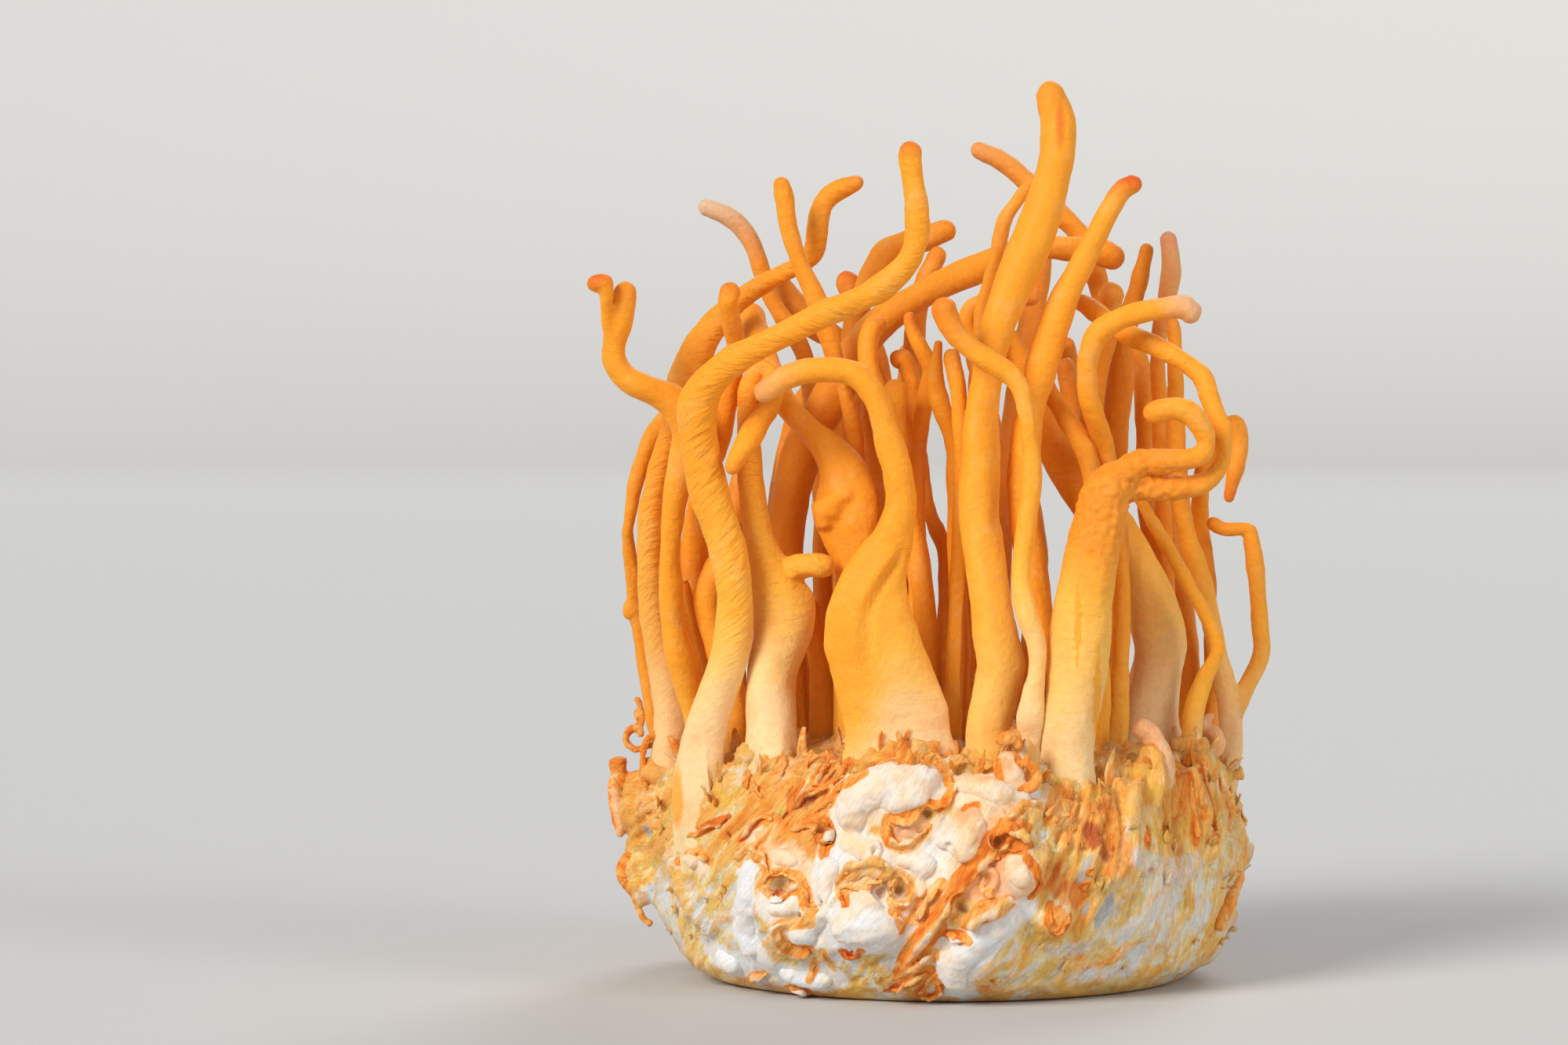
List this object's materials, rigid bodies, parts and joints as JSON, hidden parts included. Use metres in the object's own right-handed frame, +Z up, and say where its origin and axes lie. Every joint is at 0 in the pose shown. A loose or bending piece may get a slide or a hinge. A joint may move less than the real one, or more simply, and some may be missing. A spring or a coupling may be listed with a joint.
{
  "type": "orange club fungus culture",
  "caption": "Tall bent orange fungus clubs, some arched, hooked or forked, growing from one round cake of grain bound and overgrown by pale mycelium, flat underneath.",
  "frame": {"origin": "middle of the cake's flat underside, on the surface that it stands on", "axes": "+Z up along the clubs; -Y is the front, the side that the picture shows; +X is to the right as seen from the front"},
  "size_m": [0.0686, 0.0642, 0.0904],
  "materials": {
    "club_flesh": "soft matt fungus flesh, cream at the root, orange along the club and orange red at the tip",
    "mycelium_skin": "felted pale mycelium over grain, mottled yellow and orange, with orange lips and tufts"
  },
  "bodies": {
    "root": {"cake": "mycelium_skin", "club_back_arm": "club_flesh", "club_back_bent": "club_flesh", "club_back_pale_tip": "club_flesh", "club_back_red_spot": "club_flesh", "club_back_short": "club_flesh", "club_back_stub": "club_flesh", "club_back_sweep": "club_flesh", "club_centre_behind": "club_flesh", "club_centre_bud": "club_flesh", "club_centre_kink": "club_flesh", "club_centre_leaning": "club_flesh", "club_centre_loop": "club_flesh", "club_centre_loop_leg": "club_flesh", "club_centre_needle": "club_flesh", "club_centre_needle_right": "club_flesh", "club_centre_spindle": "club_flesh", "club_centre_wisp": "club_flesh", "club_dark_stub": "club_flesh", "club_front_arch": "club_flesh", "club_front_left_cane": "club_flesh", "club_front_left_hook": "club_flesh", "club_front_tall": "club_flesh", "club_front_wavy": "club_flesh", "club_left_arch": "club_flesh", "club_left_forked": "club_flesh", "club_left_forked_hammer": "club_flesh", "club_left_knob": "club_flesh", "club_left_thin": "club_flesh", "club_left_upright": "club_flesh", "club_left_wisp": "club_flesh", "club_palm": "club_flesh", "club_rear_bow": "club_flesh", "club_rear_left": "club_flesh", "club_rear_left_hook": "club_flesh", "club_rear_left_knob": "club_flesh", "club_rear_middle": "club_flesh", "club_rear_outward": "club_flesh", "club_rear_right": "club_flesh", "club_rear_right_inner": "club_flesh", "club_rear_right_outer": "club_flesh", "club_rear_tall": "club_flesh", "club_rear_wavy": "club_flesh", "club_right_back_finger": "club_flesh", "club_right_blunt": "club_flesh", "club_right_bracket": "club_flesh", "club_right_crook": "club_flesh", "club_right_crossing": "club_flesh", "club_right_diagonal": "club_flesh", "club_right_droop": "club_flesh", "club_right_fork": "club_flesh", "club_right_leaning": "club_flesh", "club_right_red_tip": "club_flesh", "club_right_tall": "club_flesh", "club_shoulder": "club_flesh", "club_shoulder_arm": "club_flesh", "club_shoulder_curl": "club_flesh"}
  },
  "joints": []
}
